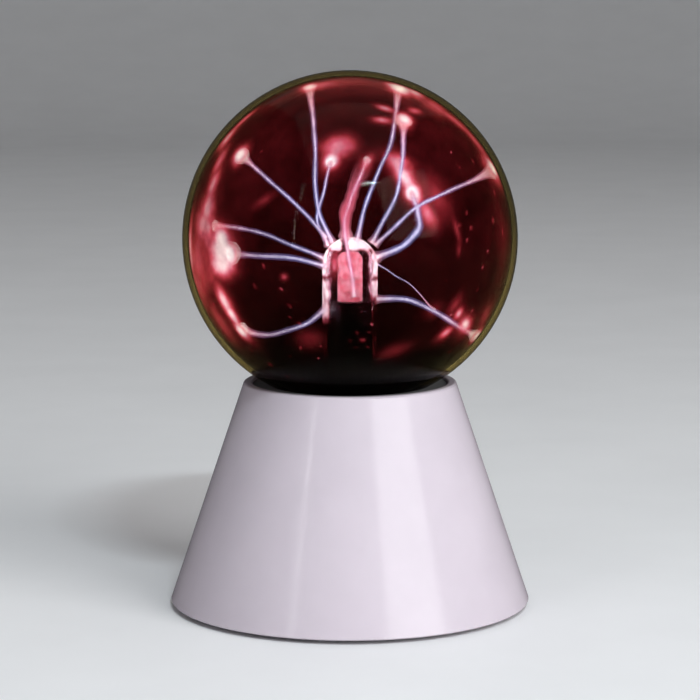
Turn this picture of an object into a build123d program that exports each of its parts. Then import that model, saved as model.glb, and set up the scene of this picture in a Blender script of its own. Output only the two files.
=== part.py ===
"""Small plasma ball: a gas-filled glass globe on a conical, battery or USB powered base.

Millimetres. The origin is under the centre of the feet, +Z is up and the front is towards -Y.
"""

import os

from build123d import *

os.makedirs("parts", exist_ok=True)

# Globe
GLOBE_R = 35.0
GLASS_T = 1.0
GLOBE_Z = 77.5
NECK_R = 11.0
NECK_Z = 33.0
STEM_R = 5.5
STEM_T = 0.9

# Conical base
FOOT_H = 1.0
BASE_R = 38.0
RIM_R = 22.3
RIM_Z = 47.5
RIM_IN_R = 20.4
WALL_X = 2.3
SLOPE = (BASE_R - RIM_R) / (RIM_Z - FOOT_H)
SHELF_Z = 45.0
SHELF_T = 1.5
SHELF_R = 14.5

# Globe retainer
RETAINER_Z = 39.5
RETAINER_SCREW_R = 17.4
BUSH_R = 12.8
BUSH_Z = 34.0

# Base plate, battery bay and door
PLATE_R = 34.8
PLATE_T = 2.0
PLATE_Z = FOOT_H + PLATE_T
BAY_W, BAY_L = 32.8, 49.2
BAY_Z = 13.8
ROOF_Z = 15.0
BASE_SCREWS = [(29.0, 7.5), (29.0, -7.5), (-29.0, 7.5), (-29.0, -7.5)]
FEET = [(22.7, 20.4), (22.7, -20.4), (-22.7, 20.4), (-22.7, -20.4)]
HINGE_Y, HINGE_Z = -25.4, 2.0
DOOR_T = 1.6
DOOR_SCREW_Y = 28.6

# AAA cells, three in series
CELL_R = 5.15
CELL_PITCH = 10.9
CELL_Z = 8.35
CELL_L = 44.5
NUB_H = 1.0
CONTACT_T = 0.4
CONTACT_Y = BAY_L / 2 - CONTACT_T
TAB_Z = 16.8

# Circuit board and what stands on it
BOARD_R = 26.5
BOARD_Z = 17.4
BOARD_T = 1.6
BOARD_TOP = BOARD_Z + BOARD_T
BOARD_REAR = 24.5
CORE_X, CORE_Y = -12.5, 2.0
SINK_X = 15.0

# Rear panel
PANEL_IN, PANEL_OUT = 24.8, 26.5
USB_X, USB_Z = -6.0, BOARD_TOP + 1.25
SWITCH_X, SWITCH_Z = 6.0, 21.2
TRAVEL = 2.0

SCREW_R = 1.0
HEAD_R = 1.9
LEAD_Z = 26.5


def cone_r(z):
    """Outer radius of the base at a height."""
    return BASE_R - SLOPE * (z - FOOT_H)


# ---------------------------------------------------------------- base shell

with BuildPart() as base_shell:
    with BuildSketch(Plane.XZ):
        with BuildLine():
            Polyline(
                (BASE_R - WALL_X, FOOT_H),
                (BASE_R, FOOT_H),
                (RIM_R, RIM_Z),
                (RIM_IN_R, RIM_Z),
                (RIM_IN_R, SHELF_Z),
                (SHELF_R, SHELF_Z),
                (SHELF_R, SHELF_Z - SHELF_T),
                (cone_r(SHELF_Z - SHELF_T) - WALL_X, SHELF_Z - SHELF_T),
                close=True,
            )
        make_face()
    revolve(axis=Axis.Z)
    fillet(base_shell.edges().filter_by(GeomType.CIRCLE).group_by(Axis.Z)[-1], 0.6)
    chamfer(base_shell.edges().filter_by(GeomType.CIRCLE).group_by(Axis.Z)[0], 0.25)

    # Bosses for the base plate screws and, under the shelf, for the retainer screws
    with BuildSketch(Plane.XY.offset(PLATE_Z)):
        with Locations(*BASE_SCREWS):
            Circle(3.0)
    extrude(amount=12)
    with BuildSketch(Plane.XY.offset(RETAINER_Z)):
        with PolarLocations(RETAINER_SCREW_R, 3, start_angle=30):
            Circle(2.6)
    extrude(amount=SHELF_Z - RETAINER_Z - SHELF_T / 2)

    # Flat rear panel at the bottom of a recess
    with BuildSketch(Plane.XZ.offset(-PANEL_IN)):
        with Locations((0, 21.35)):
            Rectangle(31.8, 12.1)
    extrude(amount=-10)
    with BuildSketch(Plane.XZ):
        with BuildLine():
            Polyline(
                (BASE_R, FOOT_H), (RIM_R, RIM_Z), (BASE_R + 8, RIM_Z), (BASE_R + 8, FOOT_H), close=True
            )
        make_face()
    revolve(axis=Axis.Z, mode=Mode.SUBTRACT)
    with BuildSketch(Plane.XZ.offset(-PANEL_OUT)):
        with Locations((0, 20.85)):
            RectangleRounded(27.6, 8.7, 1.2)
    extrude(amount=-12, mode=Mode.SUBTRACT)
    with BuildSketch(Plane.XZ.offset(-PANEL_IN)):
        with Locations((USB_X, USB_Z)):
            RectangleRounded(8.2, 3.2, 1.0)
        with Locations((SWITCH_X, SWITCH_Z)):
            RectangleRounded(4.8, 2.4, 0.4)
    extrude(amount=-(PANEL_OUT - PANEL_IN), mode=Mode.SUBTRACT)

    # Pilot holes
    with BuildSketch(Plane.XY.offset(PLATE_Z)):
        with Locations(*BASE_SCREWS):
            Circle(SCREW_R + 0.02)
    extrude(amount=8, mode=Mode.SUBTRACT)
    with BuildSketch(Plane.XY.offset(RETAINER_Z)):
        with PolarLocations(RETAINER_SCREW_R, 3, start_angle=30):
            Circle(SCREW_R + 0.02)
    extrude(amount=4, mode=Mode.SUBTRACT)

# ---------------------------------------------------------------- base plate and its bay

with BuildPart() as base_plate:
    with BuildSketch(Plane.XY.offset(FOOT_H)):
        Circle(PLATE_R)
    extrude(amount=PLATE_T)
    with BuildSketch(Plane.XY.offset(PLATE_Z)):
        RectangleRounded(BAY_W + 2.4, BAY_L + 2.4, 2.0)
    extrude(amount=ROOF_Z - PLATE_Z)
    with BuildSketch(Plane.XY.offset(PLATE_Z)):
        with Locations((0, DOOR_SCREW_Y)):
            Circle(3.4)
    extrude(amount=6)
    with BuildSketch(Plane.XY.offset(ROOF_Z)):
        with GridLocations(28, 36, 2, 2):
            Circle(2.2)
    extrude(amount=BOARD_Z - ROOF_Z)

    # Bay, with slots in its roof for the contact tabs
    with BuildSketch(Plane.XY.offset(FOOT_H)):
        Rectangle(BAY_W, BAY_L)
    extrude(amount=BAY_Z - FOOT_H, mode=Mode.SUBTRACT)
    with BuildSketch(Plane.XY.offset(BAY_Z)):
        with Locations((-CELL_PITCH, BAY_L / 2 - 0.4), (CELL_PITCH, 0.4 - BAY_L / 2)):
            Rectangle(3.4, 0.8)
    extrude(amount=ROOF_Z - BAY_Z, mode=Mode.SUBTRACT)

    # Seats for the door's knuckles, pins, screw tab and screw
    with BuildSketch(Plane.XY.offset(FOOT_H)):
        with Locations((-12, -25.7), (12, -25.7)):
            Rectangle(4.6, 2.2)
    extrude(amount=2.3, mode=Mode.SUBTRACT)
    with BuildSketch(Plane.YZ.offset(-15.8)):
        with Locations((HINGE_Y, HINGE_Z)):
            Circle(0.55)
    extrude(amount=1.7, mode=Mode.SUBTRACT)
    with BuildSketch(Plane.YZ.offset(15.8)):
        with Locations((HINGE_Y, HINGE_Z)):
            Circle(0.55)
    extrude(amount=-1.7, mode=Mode.SUBTRACT)
    with BuildSketch(Plane.XY.offset(FOOT_H)):
        with Locations((0, DOOR_SCREW_Y)):
            Circle(3.6)
        with Locations((0, (DOOR_SCREW_Y + BAY_L / 2) / 2)):
            Rectangle(7.2, DOOR_SCREW_Y - BAY_L / 2)
    extrude(amount=DOOR_T, mode=Mode.SUBTRACT)
    with BuildSketch(Plane.XY.offset(FOOT_H)):
        with Locations((0, DOOR_SCREW_Y)):
            Circle(SCREW_R + 0.3)
    extrude(amount=7.4, mode=Mode.SUBTRACT)

    # Recesses for the feet and sunk holes for the screws
    with BuildSketch(Plane.XY.offset(FOOT_H)):
        with Locations(*FEET):
            Circle(3.6)
    extrude(amount=0.8, mode=Mode.SUBTRACT)
    with BuildSketch(Plane.XY.offset(FOOT_H)):
        with Locations(*BASE_SCREWS):
            Circle(HEAD_R + 0.4)
    extrude(amount=1.2, mode=Mode.SUBTRACT)
    with BuildSketch(Plane.XY.offset(FOOT_H)):
        with Locations(*BASE_SCREWS):
            Circle(SCREW_R + 0.2)
    extrude(amount=PLATE_T, mode=Mode.SUBTRACT)
    with Locations(Plane.XY.offset(BOARD_Z)):
        with GridLocations(28, 36, 2, 2):
            Hole(0.8, depth=3.0)

with BuildPart() as rubber_feet:
    with BuildSketch():
        with Locations(*FEET):
            Circle(3.5)
    extrude(amount=FOOT_H + 0.8)
    fillet(rubber_feet.edges().group_by(Axis.Z)[0], 0.4)

with BuildPart() as base_plate_screws:
    with BuildSketch(Plane.XY.offset(FOOT_H + 0.1)):
        with Locations(*BASE_SCREWS):
            Circle(HEAD_R)
    extrude(amount=1.1)
    chamfer(base_plate_screws.edges().group_by(Axis.Z)[0], 0.25)
    with BuildSketch(Plane.XY.offset(FOOT_H + 1.2)):
        with Locations(*BASE_SCREWS):
            Circle(SCREW_R)
    extrude(amount=7)
    with BuildSketch(Plane.XY.offset(FOOT_H + 0.1)):
        with Locations(*BASE_SCREWS):
            Rectangle(2.0, 0.5)
            Rectangle(0.5, 2.0)
    extrude(amount=0.7, mode=Mode.SUBTRACT)

# ---------------------------------------------------------------- battery door

with BuildPart() as battery_door:
    with BuildSketch(Plane.XY.offset(FOOT_H)):
        with Locations((0, 0.1)):
            RectangleRounded(BAY_W - 0.6, BAY_L - 0.8, 0.8)
        with Locations((0, DOOR_SCREW_Y)):
            Circle(3.3)
        with Locations((0, 26)):
            Rectangle(6.6, 5.2)
    extrude(amount=DOOR_T)
    with BuildSketch(Plane.XY.offset(FOOT_H + DOOR_T)):
        with GridLocations(0, 12, 1, 3):
            Rectangle(28, 1.2)
    extrude(amount=0.35)
    # Grip grooves on the outside
    with BuildSketch(Plane.XY.offset(FOOT_H)):
        with Locations((0, 18.5)):
            with GridLocations(0, 1.8, 1, 4):
                SlotOverall(14, 0.9)
    extrude(amount=0.4, mode=Mode.SUBTRACT)
    # Knuckles and pins at the front
    with BuildSketch(Plane.XY.offset(HINGE_Z - 0.5)):
        with Locations((-12, -24.6), (12, -24.6)):
            Rectangle(4.0, 1.6)
    extrude(amount=1.0)
    with BuildSketch(Plane.YZ.offset(-14)):
        with Locations((HINGE_Y, HINGE_Z)):
            Circle(1.0)
    extrude(amount=4)
    with BuildSketch(Plane.YZ.offset(10)):
        with Locations((HINGE_Y, HINGE_Z)):
            Circle(1.0)
    extrude(amount=4)
    with BuildSketch(Plane.YZ.offset(-15.5)):
        with Locations((HINGE_Y, HINGE_Z)):
            Circle(0.5)
    extrude(amount=1.5)
    with BuildSketch(Plane.YZ.offset(14)):
        with Locations((HINGE_Y, HINGE_Z)):
            Circle(0.5)
    extrude(amount=1.5)
    with BuildSketch(Plane.XY.offset(FOOT_H)):
        with Locations((0, DOOR_SCREW_Y)):
            Circle(HEAD_R + 0.2)
    extrude(amount=1.1, mode=Mode.SUBTRACT)
    with BuildSketch(Plane.XY.offset(FOOT_H)):
        with Locations((0, DOOR_SCREW_Y)):
            Circle(SCREW_R + 0.02)
    extrude(amount=DOOR_T, mode=Mode.SUBTRACT)

with BuildPart() as battery_door_screw:
    with BuildSketch(Plane.XY.offset(FOOT_H + 0.1)):
        with Locations((0, DOOR_SCREW_Y)):
            Circle(HEAD_R)
    extrude(amount=1.0)
    chamfer(battery_door_screw.edges().group_by(Axis.Z)[0], 0.25)
    with BuildSketch(Plane.XY.offset(FOOT_H + 1.1)):
        with Locations((0, DOOR_SCREW_Y)):
            Circle(SCREW_R)
    extrude(amount=5.4)
    with BuildSketch(Plane.XY.offset(FOOT_H + 0.1)):
        with Locations((0, DOOR_SCREW_Y)):
            Rectangle(2.0, 0.5)
            Rectangle(0.5, 2.0)
    extrude(amount=0.7, mode=Mode.SUBTRACT)

# ---------------------------------------------------------------- cells and contacts

with BuildPart() as battery_cells:
    with BuildSketch(Plane.XZ.offset(-(CONTACT_Y - NUB_H))):
        with Locations((-CELL_PITCH, CELL_Z), (CELL_PITCH, CELL_Z)):
            Circle(CELL_R)
    extrude(amount=CELL_L - NUB_H)
    with BuildSketch(Plane.XZ.offset(CONTACT_Y - NUB_H)):
        with Locations((0, CELL_Z)):
            Circle(CELL_R)
    extrude(amount=NUB_H - CELL_L)
    fillet(battery_cells.edges().filter_by(GeomType.CIRCLE), 0.5)
    with BuildSketch(Plane.XZ.offset(-CONTACT_Y)):
        with Locations((-CELL_PITCH, CELL_Z), (CELL_PITCH, CELL_Z)):
            Circle(1.9)
    extrude(amount=NUB_H)
    with BuildSketch(Plane.XZ.offset(CONTACT_Y)):
        with Locations((0, CELL_Z)):
            Circle(1.9)
    extrude(amount=-NUB_H)

spring_coils = []
for x, end in ((-CELL_PITCH, -1), (0, 1), (CELL_PITCH, -1)):
    with BuildPart() as battery_spring:
        with BuildLine() as coil:
            Helix(
                pitch=1.05,
                height=3.15,
                radius=2.8,
                center=(x, end * (CONTACT_Y - 0.35), CELL_Z),
                direction=(0, -end, 0),
            )
        with BuildSketch(Plane(origin=coil.line @ 0, z_dir=coil.line % 0)):
            Circle(0.28)
        sweep(path=coil.line, is_frenet=True)
    spring_coils.append(battery_spring.part.solid())

with BuildPart() as battery_springs:
    add(spring_coils)

with BuildPart() as contact_plate_positive:
    with BuildSketch(Plane.XZ.offset(-CONTACT_Y)):
        with Locations((-CELL_PITCH, 8.5)):
            RectangleRounded(8.0, 8.0, 0.6)
        with Locations((-CELL_PITCH, (8 + TAB_Z) / 2)):
            Rectangle(3.0, TAB_Z - 8)
    extrude(amount=-CONTACT_T)

with BuildPart() as contact_plate_negative:
    with BuildSketch(Plane.XZ.offset(CONTACT_Y)):
        with Locations((CELL_PITCH, 8.5)):
            RectangleRounded(8.0, 8.0, 0.6)
        with Locations((CELL_PITCH, (8 + TAB_Z) / 2)):
            Rectangle(3.0, TAB_Z - 8)
    extrude(amount=CONTACT_T)

with BuildPart() as contact_bridges:
    with BuildSketch(Plane.XZ.offset(CONTACT_Y)):
        with Locations((-CELL_PITCH / 2, 8.5)):
            RectangleRounded(CELL_PITCH + 8, 8.0, 0.6)
    extrude(amount=CONTACT_T)
    with BuildSketch(Plane.XZ.offset(-CONTACT_Y)):
        with Locations((CELL_PITCH / 2, 8.5)):
            RectangleRounded(CELL_PITCH + 8, 8.0, 0.6)
    extrude(amount=-CONTACT_T)

# ---------------------------------------------------------------- globe and electrode

with BuildPart() as glass_globe:
    with Locations((0, 0, GLOBE_Z)):
        Sphere(GLOBE_R)
    with BuildSketch(Plane.XY.offset(NECK_Z)):
        Circle(NECK_R)
    extrude(amount=15)
    with Locations((0, 0, GLOBE_Z)):
        Sphere(GLOBE_R - GLASS_T, mode=Mode.SUBTRACT)
    with BuildSketch(Plane.XY.offset(NECK_Z)):
        Circle(NECK_R - GLASS_T)
    extrude(amount=15, mode=Mode.SUBTRACT)

with BuildPart() as glass_stem:
    with BuildSketch(Plane.XZ):
        with BuildLine():
            bottom = Line((STEM_R - STEM_T, NECK_Z), (NECK_R - GLASS_T, NECK_Z))
            edge = Line(bottom @ 1, (NECK_R - GLASS_T, NECK_Z + GLASS_T))
            top = Line(edge @ 1, (STEM_R + 2.5, NECK_Z + GLASS_T))
            flare = RadiusArc(top @ 1, (STEM_R, NECK_Z + GLASS_T + 2.5), 2.5)
            side = Line(flare @ 1, (STEM_R, GLOBE_Z - STEM_R))
            dome = CenterArc((0, GLOBE_Z - STEM_R), STEM_R, 0, 90)
            axis = Line(dome @ 1, (0, GLOBE_Z - STEM_T))
            inside = CenterArc((0, GLOBE_Z - STEM_R), STEM_R - STEM_T, 90, -90)
            Line(inside @ 1, bottom @ 0)
        make_face()
    revolve(axis=Axis.Z)

with BuildPart() as exhaust_tip:
    with BuildSketch(Plane.XY.offset(NECK_Z)):
        with Locations((7.4, 0)):
            Circle(1.5)
    extrude(amount=-3.5, taper=12)
    fillet(exhaust_tip.edges().group_by(Axis.Z)[0], 0.4)

with BuildPart() as electrode_core:
    with BuildSketch(Plane.XY.offset(NECK_Z + 1)):
        Circle(STEM_R - STEM_T - 0.05)
    extrude(amount=GLOBE_Z - 13 - NECK_Z - 1)

with BuildPart() as electrode_tip:
    with BuildSketch(Plane.XY.offset(GLOBE_Z - 13)):
        Circle(2.6)
    extrude(amount=10.2)
    fillet(electrode_tip.edges().group_by(Axis.Z)[-1], 1.6)

with BuildPart() as electrode_terminal:
    with BuildSketch(Plane.XY.offset(NECK_Z)):
        Circle(4.2)
    extrude(amount=1)
    with BuildSketch(Plane.XY.offset(NECK_Z)):
        Circle(1.4)
    extrude(amount=-2.6)

with BuildPart() as foam_ring:
    with BuildSketch(Plane.XY.offset(SHELF_Z)):
        Circle(RIM_IN_R)
        Circle(15.0, mode=Mode.SUBTRACT)
    extrude(amount=2.0)
    with Locations((0, 0, GLOBE_Z)):
        Sphere(GLOBE_R, mode=Mode.SUBTRACT)

with BuildPart() as neck_bush:
    with BuildSketch(Plane.XY.offset(BUSH_Z)):
        Circle(BUSH_R)
        Circle(NECK_R, mode=Mode.SUBTRACT)
    extrude(amount=RETAINER_Z + 1 - BUSH_Z)

with BuildPart() as globe_retainer:
    with BuildSketch(Plane.XY.offset(RETAINER_Z - 2)):
        Circle(21.5)
    extrude(amount=2)
    with BuildSketch(Plane.XY.offset(BUSH_Z)):
        Circle(BUSH_R + 1.8)
    extrude(amount=RETAINER_Z - BUSH_Z)
    with Locations(Plane.XY.offset(RETAINER_Z)):
        Hole(BUSH_R)
        with PolarLocations(RETAINER_SCREW_R, 3, start_angle=30):
            Hole(SCREW_R + 0.2)
        with PolarLocations(18.0, 3, start_angle=90):
            Hole(1.6)
    fillet(globe_retainer.edges().filter_by(GeomType.CIRCLE).group_by(Axis.Z)[0], 0.4)

with BuildPart() as retainer_screws:
    with BuildSketch(Plane.XY.offset(RETAINER_Z - 2)):
        with PolarLocations(RETAINER_SCREW_R, 3, start_angle=30):
            Circle(HEAD_R)
    extrude(amount=-1.2)
    fillet(retainer_screws.edges().group_by(Axis.Z)[0], 0.5)
    with BuildSketch(Plane.XY.offset(RETAINER_Z - 2)):
        with PolarLocations(RETAINER_SCREW_R, 3, start_angle=30):
            Circle(SCREW_R)
    extrude(amount=5.5)

# ---------------------------------------------------------------- circuit board

with BuildPart() as circuit_board:
    with BuildSketch(Plane.XY.offset(BOARD_Z)):
        Circle(BOARD_R)
        with Locations((0, BOARD_REAR + 5)):
            Rectangle(2 * BOARD_R, 10, mode=Mode.SUBTRACT)
    extrude(amount=BOARD_T)
    with Locations(Plane.XY.offset(BOARD_TOP)):
        with GridLocations(28, 36, 2, 2):
            Hole(0.9)
        with Locations((-CELL_PITCH, 20.6), (CELL_PITCH, -20.6)):
            Hole(0.65)

with BuildPart() as board_screws:
    with BuildSketch(Plane.XY.offset(BOARD_TOP)):
        with GridLocations(28, 36, 2, 2):
            Circle(1.7)
    extrude(amount=1.2)
    fillet(board_screws.edges().group_by(Axis.Z)[-1], 0.5)
    with BuildSketch(Plane.XY.offset(BOARD_TOP)):
        with GridLocations(28, 36, 2, 2):
            Circle(0.78)
    extrude(amount=-3.8)
    with BuildSketch(Plane.XY.offset(BOARD_TOP + 1.2)):
        with GridLocations(28, 36, 2, 2):
            Rectangle(1.8, 0.45)
            Rectangle(0.45, 1.8)
    extrude(amount=-0.6, mode=Mode.SUBTRACT)

with BuildPart() as transformer_core:
    with BuildSketch(Plane.XZ.offset(-(CORE_Y + 2.5))):
        with Locations((CORE_X, 25.9)):
            Rectangle(12.6, 11.4)
        with Locations((CORE_X - 2.9, 25.9), (CORE_X + 2.9, 25.9)):
            Rectangle(2.4, 7.0, mode=Mode.SUBTRACT)
    extrude(amount=5)

with BuildPart() as transformer_bobbin:
    with BuildSketch(Plane.XY.offset(22.4)):
        with Locations((CORE_X, CORE_Y)):
            RectangleRounded(8.0, 10.4, 0.8)
    extrude(amount=0.6)
    with BuildSketch(Plane.XY.offset(28.8)):
        with Locations((CORE_X, CORE_Y)):
            RectangleRounded(8.0, 10.4, 0.8)
    extrude(amount=0.6)
    with BuildSketch(Plane.XY.offset(23.0)):
        with Locations((CORE_X, CORE_Y)):
            Rectangle(4.3, 5.9)
    extrude(amount=5.8)
    with BuildSketch(Plane.XY.offset(BOARD_TOP)):
        with Locations((CORE_X, CORE_Y - 3.9), (CORE_X, CORE_Y + 3.9)):
            Rectangle(8.0, 2.6)
    extrude(amount=22.4 - BOARD_TOP)
    with BuildSketch(Plane.XY.offset(22.4)):
        with Locations((CORE_X, CORE_Y)):
            Rectangle(3.5, 5.1)
    extrude(amount=7.0, mode=Mode.SUBTRACT)

with BuildPart() as secondary_winding:
    with BuildSketch(Plane.XY.offset(23.0)):
        with Locations((CORE_X, CORE_Y)):
            RectangleRounded(7.8, 10.0, 1.6)
            Rectangle(4.3, 5.9, mode=Mode.SUBTRACT)
    extrude(amount=4.4)

with BuildPart() as primary_winding:
    with BuildSketch(Plane.XY.offset(27.4)):
        with Locations((CORE_X, CORE_Y)):
            RectangleRounded(7.0, 9.0, 1.4)
            Rectangle(4.3, 5.9, mode=Mode.SUBTRACT)
    extrude(amount=1.4)

with BuildPart() as heat_sink:
    with BuildSketch(Plane.XY.offset(BOARD_TOP)):
        with Locations((SINK_X + 0.6, 1)):
            Rectangle(1.2, 14)
        with Locations((SINK_X + 2.7, -5.4), (SINK_X + 2.7, 7.4)):
            Rectangle(3.0, 1.2)
    extrude(amount=12)
    with Locations(Plane.YZ.offset(SINK_X + 1.2)):
        with Locations((1, 27.5)):
            Hole(1.25)

with BuildPart() as transistor_body:
    with BuildSketch(Plane.XY.offset(20.6)):
        with Locations((SINK_X - 1.6, 1)):
            Rectangle(3.2, 8)
    extrude(amount=10.2)
    chamfer(transistor_body.edges().group_by(Axis.Z)[-1], 0.4)
    with Locations(Plane.YZ.offset(SINK_X)):
        with Locations((1, 27.5)):
            Hole(1.25)

with BuildPart() as transistor_legs:
    with BuildSketch(Plane.XY.offset(BOARD_TOP)):
        with Locations((SINK_X - 1.6, 1)):
            with GridLocations(0, 2.3, 1, 3):
                Rectangle(0.5, 0.8)
    extrude(amount=20.6 - BOARD_TOP)

with BuildPart() as transistor_screw:
    with BuildSketch(Plane.YZ.offset(SINK_X - 3.2)):
        with Locations((1, 27.5)):
            Circle(2.1)
    extrude(amount=-1.3)
    fillet(transistor_screw.edges().group_by(Axis.X)[0], 0.5)
    with BuildSketch(Plane.YZ.offset(SINK_X - 3.2)):
        with Locations((1, 27.5)):
            Circle(1.2)
    extrude(amount=6.6)

with BuildPart() as transistor_nut:
    with BuildSketch(Plane.YZ.offset(SINK_X + 1.2)):
        with Locations((1, 27.5)):
            RegularPolygon(2.3, 6)
            Circle(1.22, mode=Mode.SUBTRACT)
    extrude(amount=1.8)

with BuildPart() as electrolytic_capacitors:
    with BuildSketch(Plane.XY.offset(BOARD_TOP)):
        with Locations((-4.5, -16), (4.0, -16)):
            Circle(3.15)
    extrude(amount=11)
    fillet(electrolytic_capacitors.edges().filter_by(GeomType.CIRCLE), 0.5)

with BuildPart() as film_capacitor:
    with BuildSketch(Plane.XY.offset(BOARD_TOP)):
        with Locations((0, 13)):
            RectangleRounded(7.2, 3.5, 0.5)
    extrude(amount=6)
    fillet(film_capacitor.edges().group_by(Axis.Z)[-1], 0.5)

with BuildPart() as driver_chip:
    with BuildSketch(Plane.XY.offset(19.8)):
        with Locations((5, -7)):
            Rectangle(9.4, 6.4)
    extrude(amount=3.3)
    chamfer(driver_chip.edges().group_by(Axis.Z)[-1], 0.5)
    with Locations(Plane.XY.offset(23.1)):
        with Locations((0.9, -7)):
            Hole(0.7, depth=0.3)

with BuildPart() as chip_legs:
    with BuildSketch(Plane.XY.offset(BOARD_TOP)):
        with Locations((5, -7)):
            with GridLocations(2.54, 6.9, 4, 2):
                Rectangle(1.0, 0.5)
    extrude(amount=2.6)

with BuildPart() as resistors:
    for y in (-14.4, -11.2, -8.0):
        with BuildSketch(Plane.YZ.offset(-16)):
            with Locations((y, 20.3)):
                Circle(1.1)
        extrude(amount=6.2)
    fillet(resistors.edges().filter_by(GeomType.CIRCLE), 0.4)

with BuildPart() as resistor_leads:
    with BuildSketch(Plane.XY.offset(BOARD_TOP)):
        with Locations((-12.9, -11.2)):
            with GridLocations(8.0, 3.2, 2, 3):
                Circle(0.3)
    extrude(amount=1.3)
    for y in (-14.4, -11.2, -8.0):
        with BuildSketch(Plane.YZ.offset(-16)):
            with Locations((y, 20.3)):
                Circle(0.3)
        extrude(amount=-0.9)
        with BuildSketch(Plane.YZ.offset(-9.8)):
            with Locations((y, 20.3)):
                Circle(0.3)
        extrude(amount=0.9)

# ---------------------------------------------------------------- leads

with BuildPart() as battery_lead_positive:
    with BuildLine() as positive_path:
        FilletPolyline(
            (-CELL_PITCH, CONTACT_Y, 16.1),
            (-CELL_PITCH, 20.6, 16.1),
            (-CELL_PITCH, 20.6, BOARD_TOP + 0.4),
            radius=1.2,
        )
    with BuildSketch(Plane(origin=positive_path.line @ 0, z_dir=positive_path.line % 0)):
        Circle(0.55)
    sweep(path=positive_path.line)

with BuildPart() as battery_lead_negative:
    with BuildLine() as negative_path:
        FilletPolyline(
            (CELL_PITCH, -CONTACT_Y, 16.1),
            (CELL_PITCH, -20.6, 16.1),
            (CELL_PITCH, -20.6, BOARD_TOP + 0.4),
            radius=1.2,
        )
    with BuildSketch(Plane(origin=negative_path.line @ 0, z_dir=negative_path.line % 0)):
        Circle(0.55)
    sweep(path=negative_path.line)

with BuildPart() as high_voltage_lead:
    with BuildLine() as high_voltage_path:
        FilletPolyline(
            (-3.5, -5, BOARD_TOP), (-3.5, -5, LEAD_Z), (0, 0, LEAD_Z), (0, 0, NECK_Z - 2.6), radius=2.4
        )
    with BuildSketch(Plane(origin=high_voltage_path.line @ 0, z_dir=high_voltage_path.line % 0)):
        Circle(0.9)
    sweep(path=high_voltage_path.line)

# ---------------------------------------------------------------- USB socket and power switch

with BuildPart() as usb_shell:
    with BuildSketch(Plane.XZ.offset(-20.7)):
        with Locations((USB_X, USB_Z)):
            RectangleRounded(7.5, 2.5, 0.8)
    extrude(amount=-5.6)
    with BuildSketch(Plane.XZ.offset(-21.0)):
        with Locations((USB_X, USB_Z)):
            RectangleRounded(6.9, 1.9, 0.5)
    extrude(amount=-5.3, mode=Mode.SUBTRACT)

with BuildPart() as usb_tongue:
    with BuildSketch(Plane.XZ.offset(-21.0)):
        with Locations((USB_X, USB_Z)):
            RectangleRounded(6.9, 1.9, 0.5)
    extrude(amount=-0.8)
    with BuildSketch(Plane.XZ.offset(-21.8)):
        with Locations((USB_X, USB_Z + 0.35)):
            Rectangle(4.4, 0.6)
    extrude(amount=-3.6)

with BuildPart() as switch_body:
    with BuildSketch(Plane.XY.offset(BOARD_TOP)):
        with Locations((SWITCH_X, 22.5)):
            Rectangle(8.0, 3.8)
    extrude(amount=1.2)

with BuildPart() as switch_frame:
    with BuildSketch(Plane.XY.offset(BOARD_TOP + 1.2)):
        with Locations((SWITCH_X, 22.5)):
            Rectangle(8.0, 3.8)
    extrude(amount=3.4)
    with BuildSketch(Plane.XY.offset(BOARD_TOP + 1.2)):
        with Locations((SWITCH_X, 22.5)):
            Rectangle(7.4, 3.2)
    extrude(amount=3.1, mode=Mode.SUBTRACT)
    with BuildSketch(Plane.XZ.offset(-24.0)):
        with Locations((SWITCH_X, SWITCH_Z)):
            Rectangle(4.8, 2.4)
    extrude(amount=-0.5, mode=Mode.SUBTRACT)

with BuildPart() as switch_slider:
    with BuildSketch(Plane.XZ.offset(-21.2)):
        with Locations((SWITCH_X + TRAVEL / 2, 21.75)):
            Rectangle(4.0, 2.6)
    extrude(amount=-2.6)
    with BuildSketch(Plane.XZ.offset(-23.8)):
        with Locations((SWITCH_X + TRAVEL / 2, SWITCH_Z)):
            Rectangle(2.0, 1.5)
    extrude(amount=-4.2)

with BuildPart() as switch_knob:
    with BuildSketch(Plane.XZ.offset(-26.8)):
        with Locations((SWITCH_X + TRAVEL / 2, SWITCH_Z)):
            RectangleRounded(4.4, 3.6, 0.5)
    extrude(amount=-1.8)
    with BuildSketch(Plane.XZ.offset(-28.6)):
        with Locations((SWITCH_X + TRAVEL / 2, SWITCH_Z)):
            with GridLocations(1.2, 0, 3, 1):
                Rectangle(0.5, 3.6)
    extrude(amount=0.4, mode=Mode.SUBTRACT)
    with BuildSketch(Plane.XZ.offset(-26.8)):
        with Locations((SWITCH_X + TRAVEL / 2, SWITCH_Z)):
            Rectangle(2.0, 1.5)
    extrude(amount=-1.2, mode=Mode.SUBTRACT)

# ---------------------------------------------------------------- labels and export

base_shell.part.label = "base_shell"
base_plate.part.label = "base_plate"
rubber_feet.part.label = "rubber_feet"
base_plate_screws.part.label = "base_plate_screws"
battery_door.part.label = "battery_door"
battery_door_screw.part.label = "battery_door_screw"
battery_cells.part.label = "battery_cells"
battery_springs.part.label = "battery_springs"
contact_plate_positive.part.label = "contact_plate_positive"
contact_plate_negative.part.label = "contact_plate_negative"
contact_bridges.part.label = "contact_bridges"
glass_globe.part.label = "glass_globe"
glass_stem.part.label = "glass_stem"
exhaust_tip.part.label = "exhaust_tip"
electrode_core.part.label = "electrode_core"
electrode_tip.part.label = "electrode_tip"
electrode_terminal.part.label = "electrode_terminal"
foam_ring.part.label = "foam_ring"
neck_bush.part.label = "neck_bush"
globe_retainer.part.label = "globe_retainer"
retainer_screws.part.label = "retainer_screws"
circuit_board.part.label = "circuit_board"
board_screws.part.label = "board_screws"
transformer_core.part.label = "transformer_core"
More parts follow.
